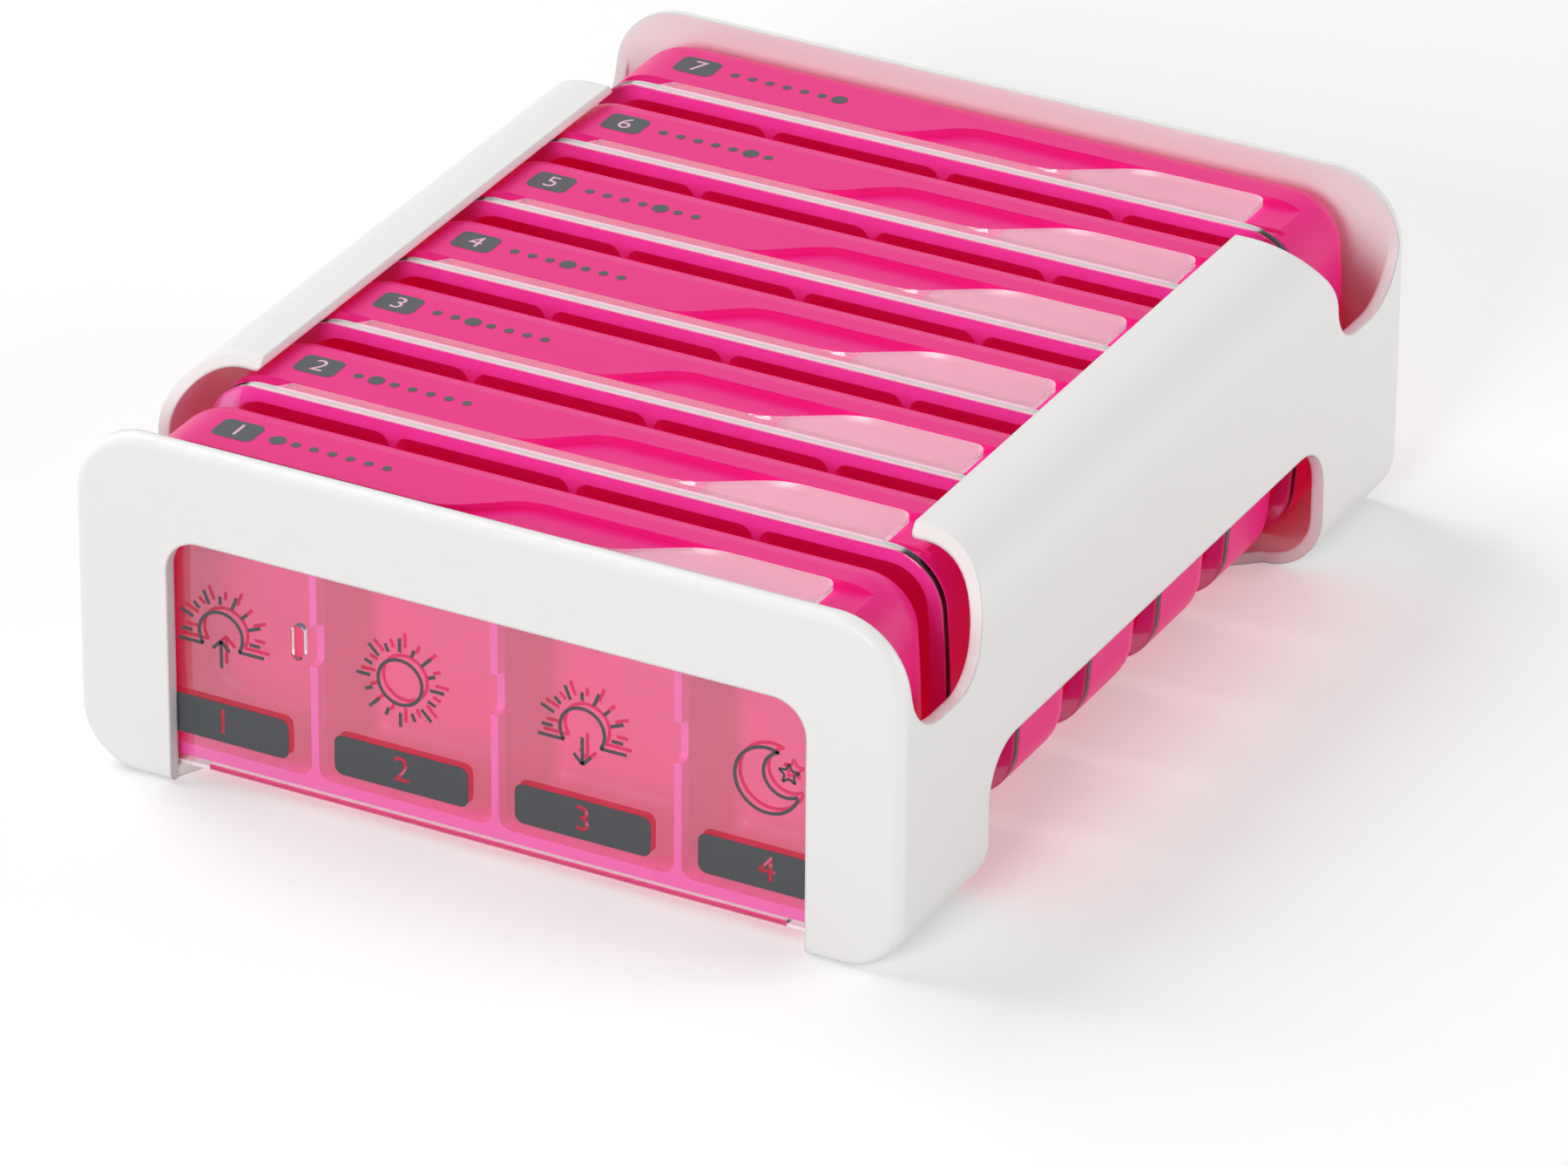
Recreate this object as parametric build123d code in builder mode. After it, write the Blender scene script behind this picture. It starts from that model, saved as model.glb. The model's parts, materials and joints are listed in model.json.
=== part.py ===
"""Weekly pill organizer: seven day boxes with sliding clear lids, standing on edge in an open rack.

Frame: X runs along the day boxes, Y from the front of the rack to its back, Z up.
The origin is the middle of the rack's footprint, at the height of the table.
All lengths are millimetres.
"""

import os

from build123d import *

os.makedirs("parts", exist_ok=True)

# Row of day boxes
box_count = 7
box_gap = 2.4
box_depth = 20.6            # front of the lid to back of the tray
box_height = 51.0
box_half_length = 60.6      # at mid-height, where the bowed ends are widest
box_end_bow = 1.6           # how much shorter a box is at its top and bottom
box_corner = 9.0

# Lid
lid_plate = 1.3
lid_edge_round = 0.5
flange_thick = 0.9
flange_narrow = 2.1         # behind the plate
flange_tab = 9.5
flange_inset = 11.0         # from the box's ends
flange_end_slope = 2.4
tab_wave_start_share = 0.64
tab_wave_end_share = 0.74
tab_wave_round = 12.0
tab_corner = 2.0
bead_wide = 0.8
bead_tall = 0.6
bump_tall = 5.6
bump_wide = 2.0
bump_rise = 1.5
bump_round = 0.5
bump_gap = 1.0              # beside the first divider
bump_height_share = 0.48    # of the box's height, up to the middle of the bump

# Tray
tray_wall = 3.0
tray_back_wall = 2.2
tray_back_margin = 2.2      # how much less the back is rounded than the corners
pocket_corner = 2.0
pocket_round_share = 0.95   # of the pocket's corner, at its floor
divider_thick = 1.2
outer_pocket_long = 27.4
divider_notch_round = 1.1
step_wave_start_share = 0.42
step_wave_end_share = 0.50
step_wave_round = 10.0

# Rack
rack_wall = 1.9
rack_end_wall = 2.2
rack_top_round = 11.5
rack_bottom_round = 9.5
rack_edge_round = 1.6
lip_edge_round = 0.8
lip_reach = 14.1            # from the rack's side to a lip's free edge
leg_wide = 15.2             # legs beside the front and back windows
leg_deep = 26.9             # legs beside the side arches
beam_tall = 15.1
window_corner = 5.5
notch_deep = 18.7           # from the rack's top
notch_wide = 20.7           # at the notch's floor
notch_knee_out = 1.0
notch_knee_deep = 8.9
notch_top_out = 9.5
notch_knee_round = 12.0
notch_round_hill = 7.0
notch_round_end = 9.5
arch_top = 23.4
arch_round = 8.0
side_scoop_deep = 22.0      # from the rack's side
side_scoop_slope = 11.0
end_scoop_deep = 24.0       # from the rack's front and back
end_scoop_slope = 10.2
scoop_round = 7.0

# Clearances
floor_clearance = 0.2
lip_clearance = 0.4
row_clearance = 0.4
end_play = 4.5
slide_clearance = 0.25
flange_clearance = 0.2
bump_clearance = 0.5
overrun = 3.0
pick = 0.05

# Places in a box, from the middle of its depth
lid_front = -box_depth / 2
lid_back = lid_front + lid_plate
tray_front = lid_back + slide_clearance
tray_back = box_depth / 2
pocket_floor = tray_back - tray_back_wall
box_low = rack_wall + floor_clearance
box_high = box_low + box_height
box_mid = box_low + box_height / 2
end_half = box_half_length - box_end_bow

# What the lid and the tray share
flange_half_length = box_half_length - flange_inset
step_deep = flange_thick + flange_clearance
step_narrow = flange_narrow
step_wide = flange_tab
groove_wide = bead_wide + 2 * slide_clearance
groove_deep = bead_tall
bump_height = box_low + bump_height_share * box_height
divider_notch_tall = bump_tall + 2 * bump_clearance
divider_notch_deep = bump_rise + bump_clearance
divider_pitch = box_half_length - tray_wall - outer_pocket_long - divider_thick / 2
dividers = [-divider_pitch, 0, divider_pitch]
bump_place = dividers[0] - divider_thick / 2 - bump_gap - bump_wide / 2
tray_back_round = box_corner - tray_back_margin
pocket_round = pocket_round_share * pocket_corner

# Row and rack
box_pitch = box_depth + box_gap
day_places = [(day + 1, box_pitch * (day - (box_count - 1) / 2)) for day in range(box_count)]
inner_half_depth = day_places[-1][1] + box_depth / 2 + row_clearance
rack_half_depth = inner_half_depth + rack_end_wall
rack_depth = 2 * rack_half_depth
rack_half_width = box_half_length + end_play + rack_wall
rack_width = 2 * rack_half_width
rack_height = box_high + lip_clearance + rack_wall
lip_gap_half = rack_half_width - lip_reach
window_half = rack_half_width - leg_wide
window_top = rack_height - beam_tall
notch_floor = rack_height - notch_deep
hill_half_foot = inner_half_depth - notch_wide
arch_half = rack_half_depth - leg_deep


def along_box(share):
    """X at a share of the box's length, from its left end."""
    return -box_half_length + 2 * box_half_length * share


def facing_front(y):
    """Upright plane at depth y: its x runs to the right, its y up, and it looks to the front."""
    return Plane(origin=(0, y, 0), x_dir=(1, 0, 0), z_dir=(0, -1, 0))


# Face of a box seen from the front: rounded corners and slightly bowed ends
with BuildSketch() as outline:
    with BuildLine():
        Line((-end_half, box_high), (end_half, box_high))
        ThreePointArc((end_half, box_high), (box_half_length, box_mid), (end_half, box_low))
        Line((end_half, box_low), (-end_half, box_low))
        ThreePointArc((-end_half, box_low), (-box_half_length, box_mid), (-end_half, box_high))
    make_face()
    fillet(vertices(), radius=box_corner)

# Rack: one open moulding
with BuildPart() as rack:
    with BuildSketch(facing_front(rack_half_depth)):
        with Locations((0, rack_height / 2)):
            Rectangle(rack_width, rack_height)
        fillet(vertices().group_by(Axis.Y)[-1], radius=rack_top_round)
        fillet(vertices().group_by(Axis.Y)[0], radius=rack_bottom_round)
    extrude(amount=rack_depth)
    fillet(rack.faces().sort_by(Axis.Y)[0].edges(), radius=rack_edge_round)
    fillet(rack.faces().sort_by(Axis.Y)[-1].edges(), radius=rack_edge_round)

    # Room for the boxes
    with BuildSketch(facing_front(inner_half_depth)):
        with Locations((0, rack_height / 2)):
            Rectangle(rack_width - 2 * rack_wall, rack_height - 2 * rack_wall)
        fillet(vertices().group_by(Axis.Y)[-1], radius=rack_top_round - rack_wall)
        fillet(vertices().group_by(Axis.Y)[0], radius=rack_bottom_round - rack_wall)
    extrude(amount=2 * inner_half_depth, mode=Mode.SUBTRACT)

    # Open top between the two side lips
    with BuildSketch(Plane.XY.offset(rack_height - rack_wall - overrun)):
        Rectangle(2 * lip_gap_half, 2 * inner_half_depth)
    extrude(amount=rack_wall + 2 * overrun, mode=Mode.SUBTRACT)

    # Windows through the front and back walls, open to the table
    with BuildSketch(facing_front(rack_half_depth + overrun)):
        with Locations((0, (window_top - overrun) / 2)):
            Rectangle(2 * window_half, window_top + overrun)
        fillet(vertices().group_by(Axis.Y)[-1], radius=window_corner)
    extrude(amount=rack_end_wall + overrun, mode=Mode.SUBTRACT)
    with BuildSketch(facing_front(-inner_half_depth)):
        with Locations((0, (window_top - overrun) / 2)):
            Rectangle(2 * window_half, window_top + overrun)
        fillet(vertices().group_by(Axis.Y)[-1], radius=window_corner)
    extrude(amount=rack_end_wall + overrun, mode=Mode.SUBTRACT)

    # Deep notches beside the hump of each side wall
    for side in (-1, 1):
        with BuildSketch(Plane.YZ.offset(-rack_half_width - overrun)):
            with BuildLine():
                Polyline(
                    (side * (hill_half_foot - notch_top_out), rack_height + overrun),
                    (side * (hill_half_foot - notch_knee_out), rack_height - notch_knee_deep),
                    (side * hill_half_foot, notch_floor),
                    (side * inner_half_depth, notch_floor),
                    (side * inner_half_depth, rack_height + overrun),
                    close=True,
                )
            make_face()
            fillet(vertices().group_by(Axis.Y)[1], radius=notch_knee_round)
            fillet(min(vertices().group_by(Axis.Y)[0], key=lambda v: abs(v.X)), radius=notch_round_hill)
            fillet(max(vertices().group_by(Axis.Y)[0], key=lambda v: abs(v.X)), radius=notch_round_end)
        extrude(amount=rack_width + 2 * overrun, mode=Mode.SUBTRACT)

    # Arches in the side walls between the corner legs, and the floor's scoops
    for side in (-1, 1):
        with BuildSketch(Plane.YZ.offset(side * (rack_half_width - rack_bottom_round))):
            with Locations((0, (arch_top - overrun) / 2)):
                Rectangle(2 * arch_half, arch_top + overrun)
            fillet(vertices().group_by(Axis.Y)[-1], radius=arch_round)
        extrude(amount=side * (rack_bottom_round + overrun), mode=Mode.SUBTRACT)
        with BuildSketch(Plane.XY.offset(-overrun)):
            with BuildLine():
                Polyline(
                    (side * (rack_half_width - rack_bottom_round), -arch_half),
                    (side * (rack_half_width - side_scoop_deep), side_scoop_slope - arch_half),
                    (side * (rack_half_width - side_scoop_deep), arch_half - side_scoop_slope),
                    (side * (rack_half_width - rack_bottom_round), arch_half),
                    close=True,
                )
            make_face()
            fillet(sorted(vertices(), key=lambda v: abs(v.X))[:2], radius=scoop_round)
        extrude(amount=rack_wall + 2 * overrun, mode=Mode.SUBTRACT)
        with BuildSketch(Plane.XY.offset(-overrun)):
            with BuildLine():
                Polyline(
                    (-window_half, side * inner_half_depth),
                    (end_scoop_slope - window_half, side * (rack_half_depth - end_scoop_deep)),
                    (window_half - end_scoop_slope, side * (rack_half_depth - end_scoop_deep)),
                    (window_half, side * inner_half_depth),
                    close=True,
                )
            make_face()
            fillet(sorted(vertices(), key=lambda v: abs(v.Y))[:2], radius=scoop_round)
        extrude(amount=rack_wall + 2 * overrun, mode=Mode.SUBTRACT)

    # Soft edges on the lips
    lip_edges = rack.edges().filter_by(Axis.Y).filter_by_position(Axis.Z, notch_floor, rack_height)
    fillet([edge for edge in lip_edges if abs(abs(edge.center().X) - lip_gap_half) < pick], radius=lip_edge_round)

rack.part.label = "rack"
export_step(rack.part, "parts/rack.step")

# Day boxes: a tray and its sliding lid, alike in all seven places
for day, place in day_places:
    with BuildPart() as tray:
        with BuildSketch(facing_front(place + tray_back)):
            add(outline.sketch)
        extrude(amount=tray_back - tray_front)
        fillet(tray.faces().sort_by(Axis.Y)[-1].edges(), radius=tray_back_round)

        # Four pockets, parted by three dividers
        with BuildSketch(facing_front(place + pocket_floor)):
            add(outline.sketch)
            offset(amount=-tray_wall)
            with Locations([(x, box_mid) for x in dividers]):
                Rectangle(divider_thick, box_height, mode=Mode.SUBTRACT)
            by_divider = [v for v in vertices() if min(abs(v.X - x) for x in dividers) < divider_thick]
            fillet(by_divider, radius=pocket_corner)
        extrude(amount=pocket_floor - tray_front + overrun, mode=Mode.SUBTRACT)
        floors = tray.faces().filter_by_position(Axis.Y, place + pocket_floor - pick, place + pocket_floor + pick)
        fillet(floors.edges(), radius=pocket_round)

        # Notches in the dividers' front edges, for the lid's bump
        for x in dividers:
            with BuildSketch(Plane.YZ.offset(x - divider_thick)):
                with Locations((place + tray_front + (divider_notch_deep - overrun) / 2, bump_height)):
                    Rectangle(divider_notch_deep + overrun, divider_notch_tall)
                fillet(vertices().group_by(Axis.X)[-1], radius=divider_notch_round)
            extrude(amount=2 * divider_thick, mode=Mode.SUBTRACT)

        # Step in the top for the lid's flange: narrow at the left, wide at the right
        with BuildSketch(Plane.XY.offset(box_high)):
            with BuildLine():
                Polyline(
                    (-box_half_length - overrun, place + tray_front - overrun),
                    (-box_half_length - overrun, place + tray_front + step_narrow),
                    (along_box(step_wave_start_share), place + tray_front + step_narrow),
                    (along_box(step_wave_end_share), place + tray_front + step_wide),
                    (box_half_length + overrun, place + tray_front + step_wide),
                    (box_half_length + overrun, place + tray_front - overrun),
                    close=True,
                )
            make_face()
            fillet(vertices().sort_by(Axis.X)[2:4], radius=step_wave_round)
        extrude(amount=-step_deep, mode=Mode.SUBTRACT)
        with BuildSketch(Plane.XY.offset(box_low)):
            with Locations((0, place + tray_front + (step_narrow - overrun) / 2)):
                Rectangle(2 * (box_half_length + overrun), step_narrow + overrun)
        extrude(amount=step_deep, mode=Mode.SUBTRACT)

        # Grooves that hold the lid's beads
        groove_mid = place + tray_front + step_narrow - groove_wide / 2
        for floor, way in ((box_high - step_deep, -1), (box_low + step_deep, 1)):
            with BuildSketch(Plane.XY.offset(floor)):
                with Locations((0, groove_mid)):
                    Rectangle(2 * (box_half_length + overrun), groove_wide)
            extrude(amount=way * groove_deep, mode=Mode.SUBTRACT)

    tray.part.label = f"tray_{day}"
    export_step(tray.part, f"parts/tray_{day}.step")

    with BuildPart() as lid:
        with BuildSketch(facing_front(place + lid_back)):
            add(outline.sketch)
        extrude(amount=lid_plate)
        fillet(lid.faces().sort_by(Axis.Y)[0].edges(), radius=lid_edge_round)

        # Top flange: a narrow strip that widens into the pull tab
        flange_start = place + lid_back - lid_plate / 2
        with BuildSketch(Plane.XY.offset(box_high)):
            with BuildLine():
                Polyline(
                    (-flange_half_length, flange_start),
                    (-flange_half_length + flange_end_slope, place + lid_back + flange_narrow),
                    (along_box(tab_wave_start_share), place + lid_back + flange_narrow),
                    (along_box(tab_wave_end_share), place + lid_back + flange_tab),
                    (flange_half_length, place + lid_back + flange_tab),
                    (flange_half_length, flange_start),
                    close=True,
                )
            make_face()
            fillet(vertices().sort_by(Axis.X)[2:4], radius=tab_wave_round)
            fillet(vertices().sort_by(Axis.X)[-2:].sort_by(Axis.Y)[-1], radius=tab_corner)
        extrude(amount=-flange_thick)
        with BuildSketch(Plane.XY.offset(box_low)):
            with Locations((0, (flange_start + place + lid_back + flange_narrow) / 2)):
                Rectangle(2 * flange_half_length - 2 * flange_end_slope, flange_narrow + lid_plate / 2)
        extrude(amount=flange_thick)

        # Beads that run in the tray's grooves
        bead_mid = place + tray_front + step_narrow - groove_wide / 2
        for root, way in ((box_high - flange_thick, -1), (box_low + flange_thick, 1)):
            with BuildSketch(Plane.XY.offset(root)):
                with Locations((0, bead_mid)):
                    Rectangle(2 * flange_half_length - 2 * flange_end_slope, bead_wide)
            extrude(amount=way * bead_tall)

        # Bump behind the plate that clicks through the dividers' notches
        with BuildSketch(facing_front(place + lid_back)):
            with Locations((bump_place, bump_height)):
                SlotOverall(bump_tall, bump_wide, rotation=90)
        extrude(amount=-bump_rise)
        bump_top = place + lid_back + bump_rise
        flat = lid.faces().filter_by(Axis.Y).filter_by_position(Axis.Y, bump_top - pick, bump_top + pick)
        fillet(flat.edges(), radius=bump_round)

    lid.part.label = f"lid_{day}"
    export_step(lid.part, f"parts/lid_{day}.step")
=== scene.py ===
"""Weekly pill organizer: plastics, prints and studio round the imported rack, trays and lids.

All lengths are metres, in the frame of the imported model: X along the day boxes, Y to the back, Z up.
"""

import json
import math

import bmesh
import bpy
from bpy.props import FloatProperty, FloatVectorProperty, PointerProperty
from mathutils import Matrix, Vector


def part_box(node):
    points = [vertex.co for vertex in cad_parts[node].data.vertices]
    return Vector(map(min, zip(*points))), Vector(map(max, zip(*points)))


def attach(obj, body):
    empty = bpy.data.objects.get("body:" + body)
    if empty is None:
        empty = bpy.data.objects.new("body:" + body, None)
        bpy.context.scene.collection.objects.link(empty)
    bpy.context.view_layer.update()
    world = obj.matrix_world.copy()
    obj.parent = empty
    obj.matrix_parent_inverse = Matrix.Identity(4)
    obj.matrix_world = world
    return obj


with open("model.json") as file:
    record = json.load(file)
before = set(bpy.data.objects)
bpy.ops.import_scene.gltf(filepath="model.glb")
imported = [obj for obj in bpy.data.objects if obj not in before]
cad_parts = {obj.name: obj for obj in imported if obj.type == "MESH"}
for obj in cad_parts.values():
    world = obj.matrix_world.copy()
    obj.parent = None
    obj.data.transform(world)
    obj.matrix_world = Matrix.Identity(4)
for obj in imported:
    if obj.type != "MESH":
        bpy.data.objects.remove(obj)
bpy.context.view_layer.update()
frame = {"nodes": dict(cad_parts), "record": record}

bl_info = {
    "name": "Weekly Pill Organizer",
    "version": (1, 0, 0),
    "blender": (4, 5, 0),
    "location": "View3D > Sidebar > Pill Organizer",
    "description": "Plastics, prints and studio for a rack of day boxes with sliding lids",
    "category": "Object",
}

MM = 0.001
DAYS = range(1, 8)
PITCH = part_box("tray_2")[0][1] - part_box("tray_1")[0][1]
TRAY_LOW, TRAY_HIGH = (Vector(corner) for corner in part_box("tray_1"))
LID_LOW, LID_HIGH = (Vector(corner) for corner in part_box("lid_1"))
OPENINGS = {row["name"]: row["box_m"] for row in frame["record"]["physics"]["openings"]}

# How far in front of a box a point still counts as that box's.
LEAD = 1.0 * MM

# Mean of a noise pattern.
NOISE_MIDDLE = 0.5

# Plastic of the trays and the lids.
PLASTIC_IOR = 1.49
PLASTIC_SPECULAR = 0.25

# White of the rack. A value that ends in ROUGH is what the pattern adds to the roughness.
RACK_CLOUD = 22.0 * MM
RACK_CLOUD_ROUGH = 0.10
RACK_GRAIN_ROUGH = 0.06
RACK_GRAIN_STRENGTH = 0.06
RACK_SCATTER = 0.12
RACK_SCATTER_SPREAD = (1.0, 0.8, 0.7)
RACK_SCATTER_SIZE = 1.5 * MM
EDGE_SAMPLES = 6
GRAIN_DETAIL = 2.0
GRAIN_DEPTH = 0.05 * MM

# Pink of the trays. A band is where a mask fades, measured from the place that it belongs to.
TRAY_CLOUD = 9.0 * MM
TRAY_CLOUD_ROUGH = 0.05
NOTCH_BAND = (0.0, 0.6 * MM)
POCKET_BAND = (0.3 * MM, 0.9 * MM)
WALL_BAND = (-0.65, -0.45)
FRONT_FACING_BAND = (0.3, 0.7)
OUTWARD_BAND = (0.55, 0.75)

# Clear plastic of the lids.
TAB_BAND = (-0.6 * MM, 0.6 * MM)
FLANGE_BAND = (0.05 * MM, 0.2 * MM)
TOP_BAND = (-0.12 * MM, -0.04 * MM)
# The painted highlight along the plate's top and bottom edges fades in over this band.
EDGE_HIGHLIGHT_BAND = (-0.5 * MM, -0.2 * MM)
INNER_BAND = (-0.3 * MM, -0.1 * MM)
RUBBING_STRETCH = (0.06, 1.0, 1.0)
HAIR = 0.35 * MM
HAIR_ROUGH = 0.01
STREAK_LEAST = 0.4
STREAK_MORE = 1.2
FROST_GRAIN = 0.25 * MM
FROST_GRAIN_STRENGTH = 0.3
FROST_ROUGH = 0.45
MILKY_ROUGHNESS = 0.5

# Ink.
INK_CLOUD = 1.2 * MM
INK_LIGHTER = 1.35
INK_ROUGHNESS = 0.5
INK_CLOUD_ROUGH = 0.15
INK_MERGE = 0.001 * MM
PALE_SLOT = 1

# Drawn pictures, with angles in degrees.
SIDES = (-1, 1)
QUARTER_TURN = 90
HALF_TURN = 180
FULL_TURN = 360
ARC_STEPS = 32
DOT_SEGMENTS = 24
RAY_TURN = 22.5
LOW_RAYS = range(-3, 4)
HIGH_RAYS = range(16)
SHORT_RAY_MORE = 0.2 * MM
HORIZON = -35
# Lines beside a low sun: height over the horizon, start and end from the sun's edge.
HORIZON_LINES = ((0.0, 0.0, 4.2 * MM), (1.7 * MM, 1.8 * MM, 3.6 * MM))
# Where the arrow starts below the sun's middle, for up (1) and down (-1).
ARROW_TAIL = {1: -5.4 * MM, -1: -1.0 * MM}
ARROW_LENGTH = 4.4 * MM
ARROW_HEAD_HALF = 1.4 * MM
ARROW_HEAD_LONG = 1.5 * MM
MOON_RADIUS = 5.2 * MM
MOON_SWEEP = (70, 340)
MOON_HOLLOW = (2.9 * MM, 1.55 * MM)
MOON_HOLLOW_RADIUS = 3.55 * MM
MOON_HOLLOW_SWEEP = (107, 303)
STAR = (3.4 * MM, 1.9 * MM)
STAR_CORNERS = 10
STAR_POINT = 1.7 * MM
STAR_DENT = 0.75 * MM
STAR_LINE = 0.75

# Number plates: the signs of the corners in turn, and the points round each.
QUARTERS = ((1, 1), (-1, 1), (-1, -1), (1, -1))
CORNER_POINTS = 7
CORNER_STEP = QUARTER_TURN / (CORNER_POINTS - 1)
NUMBER_RESOLUTION = 6

# Studio: the floor's half side, the lamps' sizes, places and angles in degrees, and the camera.
WHITE = (1.0, 1.0, 1.0)
BLACK = (0.0, 0.0, 0.0)
FIBRE = 3.0 * MM
FIBRE_SHADE = 0.985
FLOOR_ROUGHNESS = 0.9
FLOOR_SPECULAR = 0.1
FLOOR_HALF = 6.0
KEY_SIZE = 1.2
KEY_PLACE = (-1.15, 0.1, 1.3)
FRONT_SIZE = 0.5
FRONT_ANGLES = (5, 22)
SIDE_SIZE = 1.0
SIDE_ANGLES = (115, 15)
LAMP_DISTANCE = 1.6
SENSOR_WIDTH = 36.0
CLIP_END = 50.0


def colour_prop(name, description, default):
    return FloatVectorProperty(
        name=name, description=description, default=default, subtype="COLOR", size=3, min=0.0, max=1.0
    )


def length_prop(name, description, default):
    return FloatProperty(
        name=name, description=description, default=default, subtype="DISTANCE", unit="LENGTH"
    )


def share_prop(name, description, default):
    return FloatProperty(
        name=name, description=description, default=default, subtype="FACTOR", min=0.0, max=1.0
    )


def power_prop(name, description, default):
    return FloatProperty(name=name, description=description, default=default, unit="POWER")


def angle_prop(name, description, degrees):
    return FloatProperty(
        name=name, description=description, default=math.radians(degrees), subtype="ANGLE"
    )


class RackLook(bpy.types.PropertyGroup):
    """White moulding that holds the boxes."""

    colour: colour_prop("Colour", "White of the rack", (0.86, 0.855, 0.845))
    shade: colour_prop("Shade", "Faint cloudiness of the moulded white", (0.845, 0.838, 0.826))
    roughness: share_prop("Roughness", "Satin of the moulded surface", 0.42)
    grain: length_prop("Grain", "Size of the mould's fine texture", 0.35 * MM)
    edge_round: length_prop("Edge round", "Softness of the rack's edges", 0.7 * MM)


class TrayLook(bpy.types.PropertyGroup):
    """Translucent pink trays."""

    colour: colour_prop("Colour", "Pink of the walls", (0.58, 0.012, 0.225))
    shade: colour_prop("Shade", "Faint streaks in the dyed plastic", (0.57, 0.011, 0.215))
    # Painted light: the front faces outside the pockets get this brighter pink for the light that their
    # translucent edges give off.
    rim_colour: colour_prop("Rim colour", "Brighter pink of the front rims", (0.50, 0.03, 0.25))
    # Painted shade: the pockets' inner faces get this deeper, redder pink for the dim red light inside
    # them.
    pocket_colour: colour_prop("Pocket colour", "Deeper pink inside the pockets", (0.50, 0.006, 0.12))
    glow: colour_prop("Glow", "Red light that wanders about in the plastic", (0.23, 0.0, 0.007))
    passed: colour_prop("Passed", "Light that passes through a surface", (0.64, 0.11, 0.27))
    notch: length_prop("Notch", "Depth of the notches in the dividers' front edges", 2.0 * MM)
    pocket_depth: length_prop("Pocket depth", "Depth of the pockets behind the tray's front", 16.85 * MM)
    wall: length_prop("Wall", "Thickness of the tray's walls", 3.0 * MM)
    roughness: share_prop("Roughness", "Gloss of the trays", 0.36)


class LidLook(bpy.types.PropertyGroup):
    """Clear sliding lids with a frosted pull tab."""

    tint: colour_prop("Tint", "Colour of the clear plastic", (0.985, 0.98, 0.98))
    frost: colour_prop("Frost", "Colour of the frosted tab", (0.46, 0.42, 0.43))
    # Painted highlight: the edge colour and the edge cover paint milky white along the plate's top and
    # bottom edges for the light on their rounding.
    edge: colour_prop("Edge", "Pale light along the lid's top and bottom edges", (0.94, 0.92, 0.92))
    shine: colour_prop("Shine", "Colour of what the inner face mirrors", (0.5, 0.66, 1.0))
    passed: colour_prop("Passed", "Light that passes through a surface", (0.9, 0.9, 0.9))
    frost_cover: share_prop("Frost cover", "How much the frosting hides", 0.30)
    strip_cover: share_prop("Strip cover", "How pale the narrow flange is", 0.26)
    edge_cover: share_prop("Edge cover", "How pale the edges are", 0.60)
    inner_shine: share_prop("Inner shine", "Mirroring of the plate's inner face", 0.13)
    roughness: share_prop("Roughness", "Gloss of the clear plastic", 0.03)
    plate: length_prop("Plate", "Thickness of the lid's plate", 1.3 * MM)
    tab_share: share_prop("Tab share", "Where the frosting starts along the lid", 0.665)


class PrintLook(bpy.types.PropertyGroup):
    """Grey ink on the lids and trays."""

    ink: colour_prop("Ink", "Colour of the print", (0.045, 0.05, 0.055))
    pale: colour_prop("Pale", "Colour of the badges' numbers", (0.70, 0.40, 0.50))
    line: length_prop("Line", "Width of a drawn line", 0.55 * MM)
    thickness: length_prop("Thickness", "Height of the ink over the plastic", 0.03 * MM)
    lift: length_prop("Lift", "Gap that keeps the ink clear of the plastic", 0.015 * MM)
    sun_radius: length_prop("Sun radius", "Radius of the drawn sun", 3.6 * MM)
    ray_start: length_prop("Ray start", "Where the sun's rays start", 4.9 * MM)
    ray_end: length_prop("Ray end", "Where the long rays end", 7.2 * MM)
    picture_height: length_prop("Picture height", "Height of the pictures over the lid's foot", 23.0 * MM)
    plate_height: length_prop("Plate height", "Height of the plates over the lid's foot", 8.6 * MM)
    plate_width: length_prop("Plate width", "Width of a plate", 22.0 * MM)
    plate_tall: length_prop("Plate tall", "Height of a plate itself", 6.4 * MM)
    plate_corner: length_prop("Plate corner", "Rounding of a plate", 1.4 * MM)
    plate_number: length_prop("Plate number", "Height of the number in a plate", 5.8 * MM)
    badge_width: length_prop("Badge width", "Width of a day badge", 6.7 * MM)
    badge_tall: length_prop("Badge tall", "Depth of a day badge", 5.4 * MM)
    badge_corner: length_prop("Badge corner", "Rounding of a day badge", 1.2 * MM)
    badge_number: length_prop("Badge number", "Height of the number in a badge", 4.8 * MM)
    badge_inset: length_prop("Badge inset", "Middle of the badge from the tray's left end", 13.9 * MM)
    badge_depth: length_prop("Badge depth", "Middle of the badge from the tray's front", 8.2 * MM)
    dot_start: length_prop("Dot start", "Badge's edge to one spacing before the first dot", 0.2 * MM)
    dot_spacing: length_prop("Dot spacing", "Spacing of the seven dots", 3.0 * MM)
    dot_radius: length_prop("Dot radius", "Radius of the other days' dots", 0.75 * MM)
    day_dot_radius: length_prop("Day dot radius", "Radius of the day's own dot", 1.3 * MM)


class StudioLook(bpy.types.PropertyGroup):
    """Floor, light and camera."""

    floor: colour_prop("Floor", "Colour of the floor", (0.75, 0.75, 0.75))
    floor_lift: share_prop("Floor lift", "How much paler the floor shows", 0.29)
    world: share_prop("World", "Strength of the soft light all round", 0.18)
    key_power: power_prop("Key", "Power of the large lamp overhead", 21.0)
    front_power: power_prop("Front", "Power of the lamp in front", 12.5)
    side_power: power_prop("Side", "Power of the large lamp at the right", 13.0)
    azimuth: angle_prop("Azimuth", "Camera's turn", 27.792)
    elevation: angle_prop("Elevation", "Camera's height", 28.249)
    roll: angle_prop("Roll", "Camera's tilt", -0.41)
    distance: length_prop("Distance", "Camera to the point it looks at", 1.5339)
    lens: FloatProperty(
        name="Lens", description="Camera's focal length", default=236.77, subtype="DISTANCE_CAMERA"
    )
    aim: FloatVectorProperty(
        name="Aim",
        description="Point that the camera and the lamps look at",
        default=(0.0024, 0.0049, 0.0059),
        subtype="XYZ",
        unit="LENGTH",
    )


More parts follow.
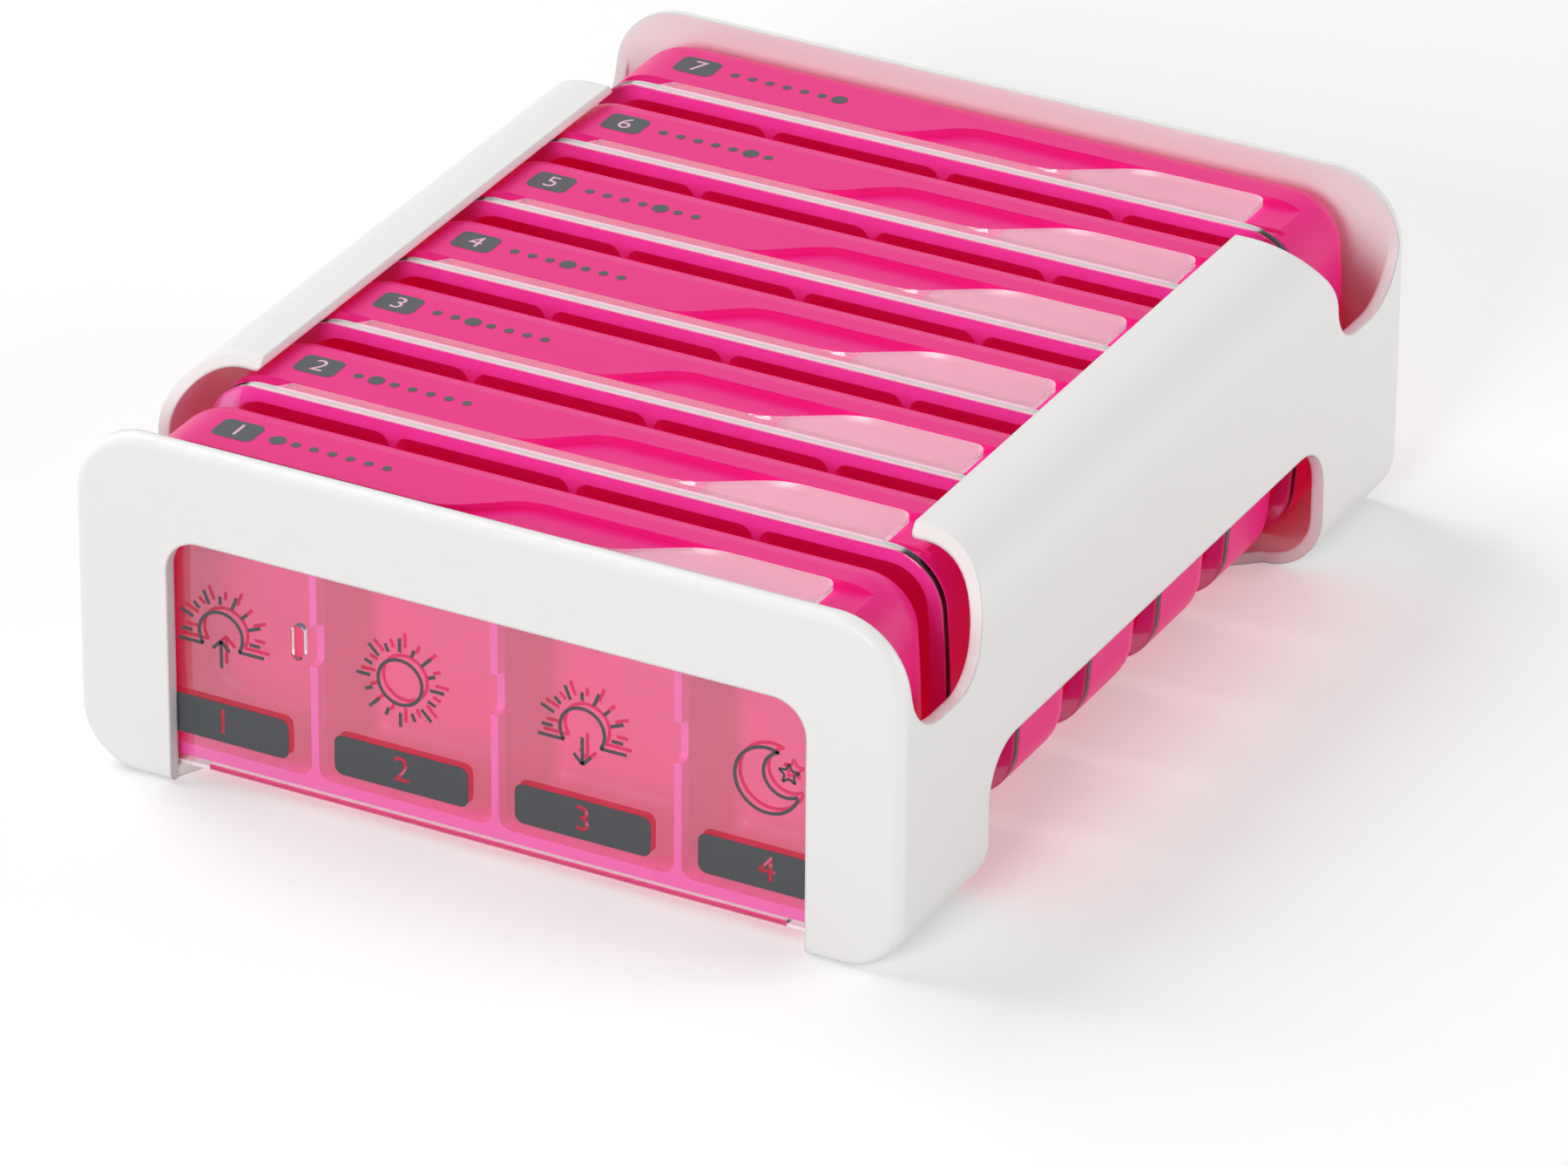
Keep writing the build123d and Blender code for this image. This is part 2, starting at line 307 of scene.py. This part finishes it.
class Signal:
    """A shader socket. Arithmetic on it adds Math nodes, and node() adds any other node."""

    def __init__(self, tree, socket=None):
        self.tree = tree
        self.socket = socket

    def node(self, kind, settings=None, inputs=None, output=0):
        made = self.tree.nodes.new(kind)
        for key, value in (settings or {}).items():
            setattr(made, key, value)
        for key, value in (inputs or {}).items():
            if isinstance(value, Signal):
                self.tree.links.new(value.socket, made.inputs[key])
            else:
                made.inputs[key].default_value = value
        return Signal(self.tree, made.outputs[output] if made.outputs else None)

    def maths(self, operation, *others):
        terms = dict(enumerate((self, *others)))
        return self.node("ShaderNodeMath", {"operation": operation}, terms)

    def __add__(self, other):
        return self.maths("ADD", other)

    def __sub__(self, other):
        return self.maths("SUBTRACT", other)

    def __rsub__(self, other):
        return (self * -1.0) + other

    def __mul__(self, other):
        return self.maths("MULTIPLY", other)

    def __truediv__(self, other):
        return self.maths("DIVIDE", other)

    __radd__ = __add__
    __rmul__ = __mul__

    def __abs__(self):
        return self.maths("ABSOLUTE")

    def ramp_up(self, band, place=0.0):
        """0 below the band, 1 above it and smooth within it. The band is measured from the place."""
        ends = {"Value": self, "From Min": place + band[0], "From Max": place + band[1]}
        return self.node("ShaderNodeMapRange", {"interpolation_type": "SMOOTHSTEP"}, ends)


def new_finish(name):
    """An empty material, and a signal to build its nodes from."""
    material = bpy.data.materials.new(name)
    material.use_nodes = True
    material.node_tree.nodes.clear()
    return material, Signal(material.node_tree)


def close_finish(start, surface):
    start.node("ShaderNodeOutputMaterial", None, {"Surface": surface})


def opaque(colour):
    return (*colour, 1.0)


def principled(start, inputs):
    return start.node("ShaderNodeBsdfPrincipled", None, inputs)


def shader_mix(start, factor, first, second):
    return start.node("ShaderNodeMixShader", None, {0: factor, 1: first, 2: second})


def colour_mix(start, factor, first, second):
    """Colour between two, each of three numbers or a signal."""
    ends = [end if isinstance(end, Signal) else opaque(end) for end in (first, second)]
    return start.node("ShaderNodeMix", {"data_type": "RGBA"}, {0: factor, 6: ends[0], 7: ends[1]}, 2)


def apart(start, vector):
    """The three parts of a vector."""
    return [start.node("ShaderNodeSeparateXYZ", None, {"Vector": vector}, axis) for axis in "XYZ"]


def places(start):
    """Object coordinates, whole and as three signals."""
    coordinates = start.node("ShaderNodeTexCoord", None, None, "Object")
    return coordinates, apart(start, coordinates)


def noise(start, coordinates, size, detail=3.0):
    inputs = {"Vector": coordinates, "Scale": 1.0 / size, "Detail": detail}
    return start.node("ShaderNodeTexNoise", None, inputs, "Fac")


def behind(y, front):
    """Depth behind the front of its own box, where front is the first box's."""
    return ((y - (front - LEAD)) / PITCH).maths("FRACT") * PITCH - LEAD


def light_path(start, ray):
    return start.node("ShaderNodeLightPath", None, None, ray)


def seen(start):
    """1 for rays from the camera, straight or by way of gloss and glass, and 0 for the others."""
    mirrored = light_path(start, "Is Glossy Ray") + light_path(start, "Is Transmission Ray")
    return (light_path(start, "Is Camera Ray") + mirrored).maths("MINIMUM", 1.0)


def let_light_pass(start, surface, colour):
    """The surface, with light that passes through it tinted where it casts a shadow."""
    through = start.node("ShaderNodeBsdfTransparent", None, {"Color": opaque(colour)})
    return shader_mix(start, light_path(start, "Is Shadow Ray"), surface, through)


def rack_plastic(look):
    """Satin white: faint clouds, a fine mould grain and a slightly uneven gloss."""
    material, start = new_finish("rack_white")
    coordinates, _ = places(start)
    clouds = noise(start, coordinates, RACK_CLOUD)
    grain = noise(start, coordinates, look.grain, GRAIN_DETAIL)
    soft = start.node("ShaderNodeBevel", {"samples": EDGE_SAMPLES}, {"Radius": look.edge_round})
    bump = start.node(
        "ShaderNodeBump",
        None,
        {"Strength": RACK_GRAIN_STRENGTH, "Distance": GRAIN_DEPTH, "Height": grain, "Normal": soft},
    )
    uneven = RACK_CLOUD_ROUGH * (clouds - NOISE_MIDDLE) + RACK_GRAIN_ROUGH * (grain - NOISE_MIDDLE)
    surface = principled(
        start,
        {
            "Base Color": colour_mix(start, clouds, look.colour, look.shade),
            "Roughness": look.roughness + uneven,
            "Subsurface Weight": RACK_SCATTER,
            "Subsurface Radius": RACK_SCATTER_SPREAD,
            "Subsurface Scale": RACK_SCATTER_SIZE,
            "Normal": bump,
        },
    )
    close_finish(start, surface)
    return material


def tray_plastic(look):
    """Dyed translucent pink that glows red, with brighter pink painted on the front rims as their light
    and deeper pink painted in the pockets as their shade.
    """
    material, start = new_finish("tray_pink")
    coordinates, (x, y, z) = places(start)
    side, back, up = apart(start, start.node("ShaderNodeTexCoord", None, None, "Normal"))
    middle = (TRAY_LOW + TRAY_HIGH) / 2
    half = (TRAY_HIGH - TRAY_LOW) / 2
    deep = behind(y, TRAY_LOW.y)
    high = z - middle.z
    inside = deep.ramp_up(NOTCH_BAND, look.notch)
    # Painted light: front faces outside the pockets, which take the brighter rim pink for the light of
    # their translucent edges.
    rim_light = (back * -1.0).ramp_up(FRONT_FACING_BAND) * (1.0 - inside)
    outward = (x - middle.x) / half.x * side + high / half.z * up
    # Painted shade: these lines mark the pockets' inner faces, which take the deeper, redder pocket pink
    # for the dim red light inside them.
    shallow = 1.0 - deep.ramp_up(POCKET_BAND, look.pocket_depth)
    under = 1.0 - abs(high).ramp_up([share * look.wall for share in WALL_BAND], half.z)
    pocket = inside * shallow * under * (1.0 - outward.ramp_up(OUTWARD_BAND))
    clouds = noise(start, coordinates, TRAY_CLOUD)
    walls = colour_mix(start, clouds, look.colour, look.shade)
    pink = colour_mix(start, pocket, colour_mix(start, rim_light, walls, look.rim_colour), look.pocket_colour)
    surface = principled(
        start,
        {
            "Base Color": pink,
            "Roughness": look.roughness + TRAY_CLOUD_ROUGH * (clouds - NOISE_MIDDLE),
            "IOR": PLASTIC_IOR,
            "Specular IOR Level": PLASTIC_SPECULAR,
            "Emission Color": opaque(look.glow),
            "Emission Strength": 1.0,
        },
    )
    close_finish(start, let_light_pass(start, surface, look.passed))
    return material


def lid_plastic(look):
    """Clear plastic with hairline rubbing, a painted highlight of milky white along the top and bottom
    edges, a frosted pull tab and a mirroring inner face.
    """
    material, start = new_finish("lid_clear")
    coordinates, (x, y, z) = places(start)
    middle = (LID_LOW.z + LID_HIGH.z) / 2
    half = (LID_HIGH.z - LID_LOW.z) / 2
    tab = LID_LOW.x + look.tab_share * (LID_HIGH.x - LID_LOW.x)
    along = x.ramp_up(TAB_BAND, tab)
    deep = behind(y, LID_LOW.y)
    flange = deep.ramp_up(FLANGE_BAND, look.plate)
    on_top = z.ramp_up(TOP_BAND, LID_HIGH.z) * flange
    frost = along * on_top
    strip = (1.0 - along) * on_top
    # Painted highlight: milky white along the plate's top and bottom edges, off the flange.
    edge = abs(z - middle).ramp_up(EDGE_HIGHLIGHT_BAND, half) * (1.0 - flange)
    inner = deep.ramp_up(INNER_BAND, look.plate) * (1.0 - flange)
    rubbing = start.node("ShaderNodeMapping", None, {"Vector": coordinates, "Scale": RUBBING_STRETCH})
    hair = noise(start, rubbing, HAIR)
    grain = noise(start, coordinates, FROST_GRAIN, GRAIN_DETAIL)
    bump = start.node(
        "ShaderNodeBump",
        None,
        {"Strength": FROST_GRAIN_STRENGTH, "Distance": GRAIN_DEPTH, "Height": grain * frost},
    )
    rubbed = look.roughness + HAIR_ROUGH * hair
    clear = principled(
        start,
        {
            "Base Color": opaque(look.tint),
            "Roughness": rubbed + FROST_ROUGH * frost,
            "IOR": PLASTIC_IOR,
            "Specular IOR Level": PLASTIC_SPECULAR,
            "Transmission Weight": 1.0,
            "Normal": bump,
        },
    )
    milky = principled(
        start,
        {
            "Base Color": colour_mix(start, edge, look.frost, look.edge),
            "Roughness": MILKY_ROUGHNESS,
            "Normal": bump,
        },
    )
    mirror = principled(start, {"Base Color": opaque(look.shine), "Metallic": 1.0, "Roughness": rubbed})
    streaks = STREAK_LEAST + STREAK_MORE * hair
    cover = look.frost_cover * frost + look.strip_cover * strip * streaks + look.edge_cover * edge
    solid = shader_mix(start, cover, clear, milky)
    shiny = shader_mix(start, look.inner_shine * inner, solid, mirror)
    close_finish(start, let_light_pass(start, shiny, look.passed))
    return material


def print_ink(name, colour):
    """Matt ink with a slightly uneven cover."""
    material, start = new_finish(name)
    coordinates, _ = places(start)
    clouds = noise(start, coordinates, INK_CLOUD)
    lighter = [INK_LIGHTER * part for part in colour]
    surface = principled(
        start,
        {
            "Base Color": colour_mix(start, clouds, colour, lighter),
            "Roughness": INK_ROUGHNESS + INK_CLOUD_ROUGH * clouds,
        },
    )
    close_finish(start, surface)
    return material


def dark_ink(look):
    """The ink that the lids and the badges share."""
    return bpy.data.materials.get("print_ink") or print_ink("print_ink", look.ink)


def floor_paper(look):
    """Pale paper that shows white to the camera and keeps the shadow."""
    material, start = new_finish("floor_paper")
    coordinates, _ = places(start)
    fibre = noise(start, coordinates, FIBRE)
    darker = [FIBRE_SHADE * part for part in look.floor]
    surface = principled(
        start,
        {
            "Base Color": colour_mix(start, fibre, look.floor, darker),
            "Roughness": FLOOR_ROUGHNESS,
            "Specular IOR Level": FLOOR_SPECULAR,
            "Emission Color": colour_mix(start, seen(start), BLACK, 3 * [look.floor_lift]),
            "Emission Strength": 1.0,
        },
    )
    close_finish(start, surface)
    return material


def dress(nodes, material):
    """Gives CAD nodes their finish."""
    for name in nodes:
        slots = frame["nodes"][name].data.materials
        slots.clear()
        slots.append(material)


def on_circle(angle):
    """Point of a circle of radius 1, at an angle in degrees."""
    return Vector((math.cos(math.radians(angle)), math.sin(math.radians(angle))))


def stroke(bm, start, end, width):
    """Straight line of ink in the XY plane."""
    start = Vector((*start, 0.0))
    end = Vector((*end, 0.0))
    along = end - start
    turn = Matrix.Rotation(math.atan2(along.y, along.x), 4, "Z")
    size = Matrix.Diagonal((along.length, width, 1.0, 1.0))
    place = Matrix.Translation((start + end) / 2) @ turn @ size
    bmesh.ops.create_grid(bm, x_segments=1, y_segments=1, size=0.5, matrix=place)


def sweep(bm, centre, radius, width, first, last):
    """Round line of ink in the XY plane, from angle first to last in degrees."""
    middle = Vector((*centre, 0.0))
    start = Matrix.Rotation(math.radians(first), 4, "Z")
    ends = [bm.verts.new(middle + start @ Vector((radius + side * width / 2, 0, 0))) for side in (1, -1)]
    edge = bm.edges.new(ends)
    bmesh.ops.spin(
        bm,
        geom=[*ends, edge],
        cent=middle,
        axis=(0, 0, 1),
        angle=math.radians(last - first),
        steps=ARC_STEPS,
        use_merge=last - first >= FULL_TURN,
    )


def disc(bm, centre, radius):
    place = Matrix.Translation((*centre, 0.0))
    bmesh.ops.create_circle(bm, cap_ends=True, segments=DOT_SEGMENTS, radius=radius, matrix=place)


def sun_rays(bm, centre, look, angles):
    """Rays round a sun, long and short in turn."""
    short_end = (look.ray_start + look.ray_end) / 2 + SHORT_RAY_MORE
    for n, angle in enumerate(angles):
        way = on_circle(angle)
        end = look.ray_end if n % 2 == 0 else short_end
        stroke(bm, Vector(centre) + look.ray_start * way, Vector(centre) + end * way, look.line)


def low_sun(bm, centre, look, arrow):
    """Half a sun on the horizon, with an arrow that points up (1) or down (-1)."""
    x, y = centre
    sweep(bm, centre, look.sun_radius, look.line, HORIZON, HALF_TURN - HORIZON)
    foot = y + look.sun_radius * math.sin(math.radians(HORIZON))
    reach = look.sun_radius * math.cos(math.radians(HORIZON))
    for side in SIDES:
        for rise, start, end in HORIZON_LINES:
            level = foot + rise
            stroke(bm, (x + side * (reach + start), level), (x + side * (reach + end), level), look.line)
    sun_rays(bm, centre, look, [QUARTER_TURN + RAY_TURN * n for n in LOW_RAYS])
    tail = y + ARROW_TAIL[arrow]
    tip = tail + arrow * ARROW_LENGTH
    stroke(bm, (x, tail), (x, tip), look.line)
    for side in SIDES:
        stroke(bm, (x, tip), (x + side * ARROW_HEAD_HALF, tip - arrow * ARROW_HEAD_LONG), look.line)


def high_sun(bm, centre, look):
    """Whole sun with rays all round."""
    sweep(bm, centre, look.sun_radius, look.line, 0, FULL_TURN)
    sun_rays(bm, centre, look, [RAY_TURN * n for n in HIGH_RAYS])


def moon(bm, centre, look):
    """Crescent and a small star."""
    middle = Vector(centre)
    sweep(bm, middle, MOON_RADIUS, look.line, *MOON_SWEEP)
    sweep(bm, middle + Vector(MOON_HOLLOW), MOON_HOLLOW_RADIUS, look.line, *MOON_HOLLOW_SWEEP)
    points = []
    for n in range(STAR_CORNERS):
        size = STAR_POINT if n % 2 == 0 else STAR_DENT
        way = on_circle(QUARTER_TURN + n * FULL_TURN / STAR_CORNERS)
        points.append(middle + Vector(STAR) + size * way)
    for n, point in enumerate(points):
        stroke(bm, point, points[(n + 1) % STAR_CORNERS], STAR_LINE * look.line)


def solid_ink(bm, look):
    """Gives flat ink its thickness, upwards."""
    bmesh.ops.remove_doubles(bm, verts=bm.verts, dist=INK_MERGE)
    made = bmesh.ops.extrude_face_region(bm, geom=bm.faces[:])
    tops = [part for part in made["geom"] if isinstance(part, bmesh.types.BMVert)]
    bmesh.ops.translate(bm, verts=tops, vec=(0, 0, look.thickness))
    bmesh.ops.recalc_face_normals(bm, faces=bm.faces)


def to_object(bm, name, material):
    """Object in the scene from a bmesh, which is then freed."""
    mesh = bpy.data.meshes.new(name)
    bm.to_mesh(mesh)
    bm.free()
    mesh.materials.append(material)
    made = bpy.data.objects.new(name, mesh)
    bpy.context.scene.collection.objects.link(made)
    return made


def number_curve(text, size):
    """Flat curve of a plain number."""
    letters = bpy.data.curves.new("number", "FONT")
    letters.body = text
    letters.size = size
    letters.align_x = "CENTER"
    letters.align_y = "CENTER"
    letters.resolution_u = NUMBER_RESOLUTION
    holder = bpy.data.objects.new("number", letters)
    bpy.context.scene.collection.objects.link(holder)
    shape = holder.to_curve(bpy.context.evaluated_depsgraph_get()).copy()
    holder.to_curve_clear()
    bpy.data.objects.remove(holder)
    shape.dimensions = "2D"
    shape.fill_mode = "BOTH"
    return shape


def curve_mesh(shape, centre, thickness):
    """Mesh of a flat curve, with its thickness upwards."""
    shape.extrude = thickness / 2
    holder = bpy.data.objects.new("number_plate", shape)
    bpy.context.scene.collection.objects.link(holder)
    mesh = bpy.data.meshes.new_from_object(holder.evaluated_get(bpy.context.evaluated_depsgraph_get()))
    bpy.data.objects.remove(holder)
    mesh.transform(Matrix.Translation((*centre, thickness / 2)))
    return mesh


def number_plate(text, size, centre, width, tall, corner, thickness):
    """Mesh of a rounded ink plate with a plain number left open in it."""
    points = []
    for turn, (side_x, side_y) in enumerate(QUARTERS):
        middle = Vector((side_x * (width / 2 - corner), side_y * (tall / 2 - corner)))
        for step in range(CORNER_POINTS):
            points.append(middle + corner * on_circle(QUARTER_TURN * turn + CORNER_STEP * step))
    shape = number_curve(text, size)
    outline = shape.splines.new("POLY")
    outline.points.add(len(points) - 1)
    for made, point in zip(outline.points, points):
        made.co = (*point, 0.0, 1.0)
    outline.use_cyclic_u = True
    return curve_mesh(shape, centre, thickness)


def print_middles():
    """X of the middle of each picture: evenly spaced, over the inner pockets' middles."""
    pockets = [OPENINGS[f"day_1_pocket_{pocket}"] for pocket in (2, 3)]
    left, right = (sum(corner[0] for corner in pocket) / 2 for pocket in pockets)
    pitch = right - left
    return [left - pitch, left, right, right + pitch]


class PILL_OT_rack(bpy.types.Operator):
    """Finish the rack in satin white"""

    bl_idname = "pill_organizer.rack"
    bl_label = "Rack Plastic"

    def execute(self, context):
        dress(["rack"], rack_plastic(context.scene.rack_look))
        return {"FINISHED"}


class PILL_OT_trays(bpy.types.Operator):
    """Finish the trays in translucent pink"""

    bl_idname = "pill_organizer.trays"
    bl_label = "Tray Plastic"

    def execute(self, context):
        dress([f"tray_{day}" for day in DAYS], tray_plastic(context.scene.tray_look))
        return {"FINISHED"}


class PILL_OT_lids(bpy.types.Operator):
    """Finish the lids in clear plastic with a frosted tab"""

    bl_idname = "pill_organizer.lids"
    bl_label = "Lid Plastic"

    def execute(self, context):
        dress([f"lid_{day}" for day in DAYS], lid_plastic(context.scene.lid_look))
        return {"FINISHED"}


class PILL_OT_lid_prints(bpy.types.Operator):
    """Print the times of day on the lids"""

    bl_idname = "pill_organizer.lid_prints"
    bl_label = "Lid Prints"

    def execute(self, context):
        look = context.scene.print_look
        bm = bmesh.new()
        pictures = [(middle, look.picture_height) for middle in print_middles()]
        low_sun(bm, pictures[0], look, 1)
        high_sun(bm, pictures[1], look)
        low_sun(bm, pictures[2], look, -1)
        moon(bm, pictures[3], look)
        solid_ink(bm, look)
        for pocket, middle in enumerate(print_middles(), 1):
            plate = number_plate(
                str(pocket),
                look.plate_number,
                (middle, look.plate_height),
                look.plate_width,
                look.plate_tall,
                look.plate_corner,
                look.thickness,
            )
            bm.from_mesh(plate)
        first = to_object(bm, "lid_1_print", dark_ink(look))
        upright = Matrix.Rotation(math.radians(QUARTER_TURN), 4, "X")
        place = Matrix.Translation((0, LID_LOW.y - look.lift, LID_LOW.z)) @ upright
        first.data.transform(place)
        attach(first, "lid_1")
        for day in DAYS[1:]:
            mesh = first.data.copy()
            mesh.transform(Matrix.Translation((0, (day - 1) * PITCH, 0)))
            copy = bpy.data.objects.new(f"lid_{day}_print", mesh)
            context.scene.collection.objects.link(copy)
            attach(copy, f"lid_{day}")
        return {"FINISHED"}


class PILL_OT_day_badges(bpy.types.Operator):
    """Print a numbered badge and a row of dots on each tray's top"""

    bl_idname = "pill_organizer.day_badges"
    bl_label = "Day Badges"

    def execute(self, context):
        look = context.scene.print_look
        pale = print_ink("print_pale", look.pale)
        badge = (TRAY_LOW.x + look.badge_inset, 0.0)
        row = badge[0] + look.badge_width / 2 + look.dot_start
        for day in DAYS:
            bm = bmesh.new()
            for n in DAYS:
                radius = look.day_dot_radius if n == day else look.dot_radius
                disc(bm, (row + n * look.dot_spacing, 0.0), radius)
            solid_ink(bm, look)
            plate = number_plate(
                str(day),
                look.badge_number,
                badge,
                look.badge_width,
                look.badge_tall,
                look.badge_corner,
                look.thickness,
            )
            bm.from_mesh(plate)
            # The pale number lies a little lower than the plate round it.
            number = curve_mesh(number_curve(str(day), look.badge_number), badge, look.thickness / 2)
            number.polygons.foreach_set("material_index", [PALE_SLOT] * len(number.polygons))
            bm.from_mesh(number)
            made = to_object(bm, f"tray_{day}_badge", dark_ink(look))
            made.data.materials.append(pale)
            middle = TRAY_LOW.y + (day - 1) * PITCH + look.badge_depth
            made.data.transform(Matrix.Translation((0, middle, TRAY_HIGH.z + look.lift)))
            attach(made, f"tray_{day}")
        return {"FINISHED"}


def facing(place, aim):
    """Turn of a lamp or camera at a place that looks at a point."""
    return (Vector(aim) - Vector(place)).to_track_quat("-Z", "Y")


def lamp(name, size, power, place, aim):
    """Square lamp that looks at a point."""
    light = bpy.data.lights.new(name, "AREA")
    light.size = size
    light.energy = power
    made = bpy.data.objects.new(name, light)
    made.location = place
    made.rotation_euler = facing(place, aim).to_euler()
    bpy.context.scene.collection.objects.link(made)


def from_azimuth(azimuth, elevation, distance, aim):
    """Place at an angle round a point; azimuth 0 is in front of the rack."""
    flat = math.cos(elevation) * distance
    rise = math.sin(elevation) * distance
    return Vector(aim) + Vector((math.sin(azimuth) * flat, -math.cos(azimuth) * flat, rise))


class PILL_OT_studio(bpy.types.Operator):
    """Set up the floor, the light and the camera"""

    bl_idname = "pill_organizer.studio"
    bl_label = "Studio"

    def execute(self, context):
        look = context.scene.studio_look
        scene = context.scene
        bm = bmesh.new()
        bmesh.ops.create_grid(bm, x_segments=1, y_segments=1, size=FLOOR_HALF)
        floor = to_object(bm, "floor", floor_paper(look))

        world = bpy.data.worlds.new("studio")
        world.use_nodes = True
        world.node_tree.nodes.clear()
        start = Signal(world.node_tree)
        strength = seen(start) * (1.0 - look.world) + look.world
        sky = start.node("ShaderNodeBackground", None, {"Color": opaque(WHITE), "Strength": strength})
        start.node("ShaderNodeOutputWorld", None, {"Surface": sky})
        scene.world = world

        aim = Vector(look.aim)
        lamp("key_lamp", KEY_SIZE, look.key_power, KEY_PLACE, aim)
        ahead = from_azimuth(*map(math.radians, FRONT_ANGLES), LAMP_DISTANCE, aim)
        lamp("front_lamp", FRONT_SIZE, look.front_power, ahead, aim)
        right = from_azimuth(*map(math.radians, SIDE_ANGLES), LAMP_DISTANCE, aim)
        lamp("side_lamp", SIDE_SIZE, look.side_power, right, aim)

        camera = bpy.data.cameras.new("camera")
        camera.sensor_fit = "HORIZONTAL"
        camera.sensor_width = SENSOR_WIDTH
        camera.lens = look.lens
        camera.clip_end = CLIP_END
        holder = bpy.data.objects.new("camera", camera)
        holder.location = from_azimuth(look.azimuth, look.elevation, look.distance, aim)
        level = facing(holder.location, aim).to_matrix().to_4x4()
        holder.rotation_euler = (level @ Matrix.Rotation(-look.roll, 4, "Z")).to_euler()
        scene.collection.objects.link(holder)
        scene.camera = holder
        scene.view_settings.view_transform = "Standard"
        return {"FINISHED"}


OPERATORS = (
    PILL_OT_rack,
    PILL_OT_trays,
    PILL_OT_lids,
    PILL_OT_lid_prints,
    PILL_OT_day_badges,
    PILL_OT_studio,
)
LOOKS = {
    "rack_look": RackLook,
    "tray_look": TrayLook,
    "lid_look": LidLook,
    "print_look": PrintLook,
    "studio_look": StudioLook,
}


class PILL_PT_panel(bpy.types.Panel):
    """Lists the steps that dress the organizer"""

    bl_idname = "PILL_PT_panel"
    bl_label = "Pill Organizer"
    bl_space_type = "VIEW_3D"
    bl_region_type = "UI"
    bl_category = "Pill Organizer"

    def draw(self, context):
        for operator in OPERATORS:
            self.layout.operator(operator.bl_idname)
        for name in LOOKS:
            box = self.layout.box()
            look = getattr(context.scene, name)
            for key in look.bl_rna.properties.keys():
                if key not in ("rna_type", "name"):
                    box.prop(look, key)


def register():
    for look in LOOKS.values():
        bpy.utils.register_class(look)
    for name, look in LOOKS.items():
        setattr(bpy.types.Scene, name, PointerProperty(type=look))
    for operator in OPERATORS:
        bpy.utils.register_class(operator)
    bpy.utils.register_class(PILL_PT_panel)


def unregister():
    bpy.utils.unregister_class(PILL_PT_panel)
    for operator in reversed(OPERATORS):
        bpy.utils.unregister_class(operator)
    for name, look in LOOKS.items():
        delattr(bpy.types.Scene, name)
        bpy.utils.unregister_class(look)


def main():
    register()
    bpy.ops.pill_organizer.rack()
    bpy.ops.pill_organizer.trays()
    bpy.ops.pill_organizer.lids()
    bpy.ops.pill_organizer.lid_prints()
    bpy.ops.pill_organizer.day_badges()
    bpy.ops.pill_organizer.studio()


if __name__ == "__main__":
    main()
